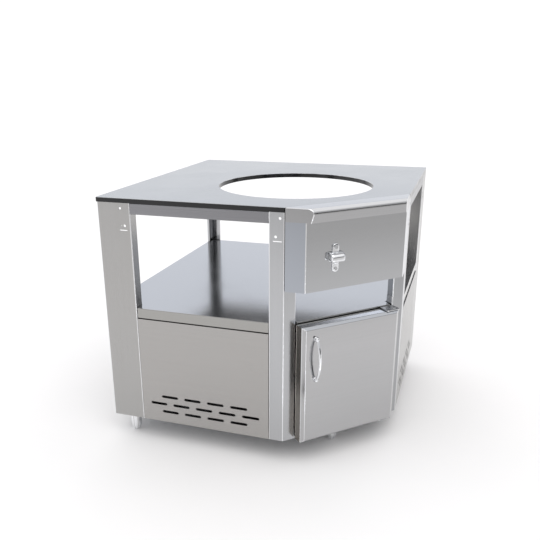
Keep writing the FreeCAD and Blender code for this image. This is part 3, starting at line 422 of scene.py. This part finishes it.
def cowl(place, half, reach, low, high, wall):
    """Open-bottomed hood, a loop of wall carried round from one side to the other.  Seen from
    above, the outside is half a superellipse: across is half times the cosine to a power, out is
    reach times the sine to the same power.  From the rim up it is upright to its shoulder, then
    rounds over in a quarter circle to the wall behind.  The inside is the same form, one wall
    thickness smaller."""
    turn = np.linspace(0, math.pi, COWL_COLUMNS)
    across = np.sign(np.cos(turn)) * np.abs(np.cos(turn)) ** COWL_POWER
    out = np.abs(np.sin(turn)) ** COWL_POWER
    over = np.linspace(0, math.pi / 2, COWL_ROWS)

    def form(cut):
        """One side of the wall, cut in by a thickness: rows from the rim to the top."""
        tall = (high - low) - cut
        upright = COWL_SHOULDER * tall
        climb = np.concatenate([[0.0, 0.5 * upright], upright + (tall - upright) * np.sin(over)])
        shrink = np.concatenate([[1.0, 1.0], np.cos(over)])
        side = np.concatenate([[1.0, 1.0], COWL_CROWN + (1 - COWL_CROWN) * np.cos(over)])
        x = place[0] + (half - cut) * side[:, None] * across
        y = place[1] - (reach - cut) * shrink[:, None] * out
        z = place[2] + low + climb[:, None] + 0 * across
        return np.stack([x, y, z], axis=-1)

    outer, inner = form(0.0), form(wall)
    rim = (outer[:1] + inner[:1]) / 2 - np.array([0.0, 0.0, 0.25 * wall])
    loop = np.concatenate([outer, inner[::-1], rim]).transpose(1, 0, 2)
    ends = np.repeat(loop[[0, -1]].mean(axis=1, keepdims=True), loop.shape[1], axis=1)
    return np.concatenate([ends[:1], loop, ends[1:]])


# Bow door handle: a bar on two turned feet, cast in one and plated.  A profile's points are its
# reach out of the surface and its radius there, in mm.
HANDLE_FOOT = [(0, 0), (0, 9.0), (1.5, 9.0), (2.5, 8.0), (8.5, 7.6), (11.5, 6.6), (13.2, 4.6),
               (14.0, 2.2), (14.2, 0)]
HANDLE_THICK = 5.4 * MM
HANDLE_WAIST = 4.4 * MM
HANDLE_END_REACH = 8.0 * MM
handle_low, handle_high = (np.array(corner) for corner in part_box("door_handle"))
handle_x = (handle_low[0] + handle_high[0]) / 2
door_front = handle_high[1]
foot_radius = (handle_high[0] - handle_low[0]) / 2
handle_ends = [np.array([handle_x, door_front, handle_low[2] + foot_radius]),
               np.array([handle_x, door_front, handle_high[2] - foot_radius])]
handle_reach = door_front - handle_low[1] - HANDLE_THICK
piece("bow_handle", [bow(*handle_ends, HANDLE_END_REACH, handle_reach, HANDLE_THICK, HANDLE_WAIST)]
      + [turned(HANDLE_FOOT, end) for end in handle_ends],
      polished, "door", ["door_handle"])

# Wall bottle opener: back plate, hood and tooth, cast in one and plated.
OPENER_PLATE = [(0, 0), (0, 12.0), (3.2, 12.0), (4.3, 11.5), (5.0, 10.4), (5.4, 6.0), (5.5, 0)]
OPENER_TOOTH = [(0, 0), (0, 8.0), (9.0, 7.4), (11.0, 6.6), (12.0, 4.6), (12.0, 0)]
opener_low, opener_high = (np.array(corner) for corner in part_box("bottle_opener"))
opener_place = np.array([(opener_low[0] + opener_high[0]) / 2, opener_high[1],
                         (opener_low[2] + opener_high[2]) / 2])
PLATE_RUN = 35.0 * MM                     # the middles of its round ends, above and below
TOOTH_RUN = 1.0 * MM                      # the same for the tooth, left and right
HOOD_RIM, HOOD_TOP, HOOD_WALL = -7.0 * MM, 20.0 * MM, 5.0 * MM
TOOTH_DROP = np.array([0.0, 0.0, -14.0 * MM])
piece("cast_bottle_opener",
      [rounded_pad(OPENER_PLATE, PLATE_RUN, opener_place),
       rounded_pad(OPENER_TOOTH, TOOTH_RUN, opener_place + TOOTH_DROP, upright=False),
       cowl(opener_place, (opener_high[0] - opener_low[0]) / 2, opener_high[1] - opener_low[1],
            HOOD_RIM, HOOD_TOP, HOOD_WALL)],
      polished, "cabinet", ["bottle_opener"])

# ---- floor, light and camera ----------------------------------------------------------------------
def flat_piece(name, corners, look):
    """A flat four-cornered piece of the studio."""
    mesh = bpy.data.meshes.new(name)
    mesh.from_pydata(corners, [], [(0, 1, 2, 3)])
    mesh.materials.append(look)
    made = bpy.data.objects.new(name, mesh)
    bpy.context.scene.collection.objects.link(made)
    return made


def paper():
    """Matt white paper with slightly uneven fibre, and painted shade that makes it greyer far out in
    front.
    """
    made, tree = new_material("pale_paper_floor")
    fibre = blotches(tree, FIBRE_PATCH)
    shade = mixed(tree, spread(tree, fibre, 0.0, 1.0), linear("f5f5f5"), linear("f8f7f7"))
    place = add(tree, "SeparateXYZ", {"Vector": add(tree, "TexCoord").outputs["Object"]})
    painted_floor_shade = add(tree, "MapRange", {"Value": place.outputs["Y"], "From Min": PAPER_SHADED,
                                  "From Max": PAPER_LIT, "To Min": 1.0, "To Max": 0.0})
    # Painted shade: the paper turns greyer far out in front.
    shade = mixed(tree, painted_floor_shade.outputs["Result"], shade, linear("c9c8c6"))
    close(tree, add(tree, "BsdfPrincipled", {"Base Color": shade, "Roughness": 0.9,
                                             "Specular IOR Level": 0.1}))
    return made


FLOOR_HALF = 9.0
FIBRE_PATCH = 0.6
PAPER_LIT, PAPER_SHADED = -1.4, -3.4      # painted shade on the paper grows between these, on the Y axis
flat_piece("studio_floor", [(-FLOOR_HALF, -FLOOR_HALF, 0), (FLOOR_HALF, -FLOOR_HALF, 0),
                            (FLOOR_HALF, FLOOR_HALF, 0), (-FLOOR_HALF, FLOOR_HALF, 0)], paper())

# Light comes from a broad ceiling and a backdrop behind the cabinet, white at the floor and cooler
# above it.  The room on the door's side is darker, up to the ceiling.
CEILING = (1.18, 1.17, 1.17, 1.0)
BACKDROP_LOW = (1.10, 1.10, 1.10, 1.0)
BACKDROP_HIGH = (0.83, 0.86, 0.93, 1.0)
ROOM = (0.68, 0.68, 0.69, 1.0)
# Each change of light spreads over a part of the direction's X, Y or Z, from -1 to 1.
BACKDROP_CHANGE = (0.10, 0.20)            # on Z
ROOM_CHANGE = (-0.35, 0.30)               # on Y
CEILING_CHANGE = (0.40, 0.70)             # on Z
world = bpy.data.worlds.new("soft_studio")
bpy.context.scene.world = world
world.use_nodes = True
tree = world.node_tree
tree.nodes.clear()
axes = add(tree, "SeparateXYZ", {"Vector": add(tree, "TexCoord").outputs["Generated"]})


def ramp(axis, start, end):
    """Smooth 0 to 1 as the direction's part along an axis goes from start to end."""
    return add(tree, "MapRange", {"Value": axes.outputs[axis], "From Min": start, "From Max": end},
               interpolation_type="SMOOTHSTEP").outputs["Result"]


backdrop = mixed(tree, ramp("Z", *BACKDROP_CHANGE), BACKDROP_LOW, BACKDROP_HIGH)
around = mixed(tree, ramp("Y", *ROOM_CHANGE), ROOM, backdrop)
glow = mixed(tree, ramp("Z", *CEILING_CHANGE), around, CEILING)
background = add(tree, "Background", {"Color": glow, "Strength": 1.0})
add(tree, "OutputWorld", {"Surface": background.outputs["Background"]})


def lamp(name, kind, place, aim, tint, turn=0.0, **settings):
    """A light at place that faces aim, turned about its own axis.  The camera doesn't see it."""
    data = bpy.data.lights.new(name, kind)
    data.color = tint
    for key, value in settings.items():
        setattr(data, key, value)
    made = bpy.data.objects.new(name, data)
    bpy.context.scene.collection.objects.link(made)
    made.location = place
    made.rotation_euler = (Vector(aim) - Vector(place)).to_track_quat("-Z", "Y").to_euler()
    made.rotation_euler.rotate_axis("Z", turn)
    made.visible_camera = False
    return made


OVERHEAD_PLACE = (-1.0, -2.5, 4.0)
lamp("overhead_light", "SUN", OVERHEAD_PLACE, (0.0, 0.0, 0.0), (1.0, 0.98, 0.96), energy=0.55,
     angle=math.radians(50))

# A narrow strip on the floor, out from the door's left edge, draws a bright line down each bend.
# It leaves out the side panel that it would graze.
STRIP_X, STRIP_Y, STRIP_Z = -0.32, -1.90, 0.015
STRIP_WIDE, STRIP_LONG = 0.15, 1.9
STRIP_TURN = math.radians(7)
strip = lamp("low_strip_light", "AREA", (STRIP_X, STRIP_Y, STRIP_Z), (STRIP_X, STRIP_Y, 1.0),
             (0.97, 0.98, 1.0), turn=STRIP_TURN, shape="RECTANGLE", size=STRIP_WIDE,
             size_y=STRIP_LONG, energy=2.6)
strip_lit = bpy.data.collections.new("lit_by_low_strip")
for obj in bpy.context.scene.objects:
    if obj.type == "MESH" and obj.name != frame["nodes"]["side_panel_left"].name:
        strip_lit.objects.link(obj)
strip.light_linking.receiver_collection = strip_lit

# Black cards, seen only in reflections, draw the dark lines in the bright parts: one lies on the
# floor beside the strip, one stands level with the worktop in front.
FLOOR_CARD_Z = 0.004
FLOOR_CARD = [(-0.34, -1.0), (-0.54, -1.0), (-1.72, -3.1), (-1.12, -3.1)]
STANDING_CARD_Y = -4.2
STANDING_CARD = [(-1.5, 0.35), (5.0, 0.35), (5.0, 1.40), (-1.5, 1.40)]
for name, corners in (
        ("floor_card", [(x, y, FLOOR_CARD_Z) for x, y in FLOOR_CARD]),
        ("standing_card", [(x, STANDING_CARD_Y, z) for x, z in STANDING_CARD])):
    card = flat_piece(name, corners, black_plastic)
    card.visible_camera = card.visible_diffuse = card.visible_shadow = False

CAMERA_PLACE = Vector((-1.19685, -2.26153, 1.29685))
CAMERA_YAW = 0.4564                       # turned right from +Y, radians
CAMERA_PITCH = 0.3445                     # down from level
CAMERA_ROLL = -0.0093
CAMERA_LENS = 43.303                      # mm, on a sensor 36 mm wide
CAMERA_SHIFT = (0.0333, 0.0633)
ahead = Vector((math.sin(CAMERA_YAW) * math.cos(CAMERA_PITCH),
                math.cos(CAMERA_YAW) * math.cos(CAMERA_PITCH), -math.sin(CAMERA_PITCH)))
right = Vector((math.cos(CAMERA_YAW), -math.sin(CAMERA_YAW), 0.0))
up = right.cross(ahead)
rolled_right = right * math.cos(CAMERA_ROLL) + up * math.sin(CAMERA_ROLL)
rolled_up = up * math.cos(CAMERA_ROLL) - right * math.sin(CAMERA_ROLL)
lens = bpy.data.cameras.new("main_camera")
lens.sensor_width = 36.0
lens.lens = CAMERA_LENS
lens.shift_x, lens.shift_y = CAMERA_SHIFT
camera = bpy.data.objects.new("main_camera", lens)
bpy.context.scene.collection.objects.link(camera)
camera.matrix_world = Matrix.Translation(CAMERA_PLACE) @ Matrix(
    (rolled_right, rolled_up, -ahead)).transposed().to_4x4()
bpy.context.scene.camera = camera
bpy.context.scene.view_settings.view_transform = "Standard"
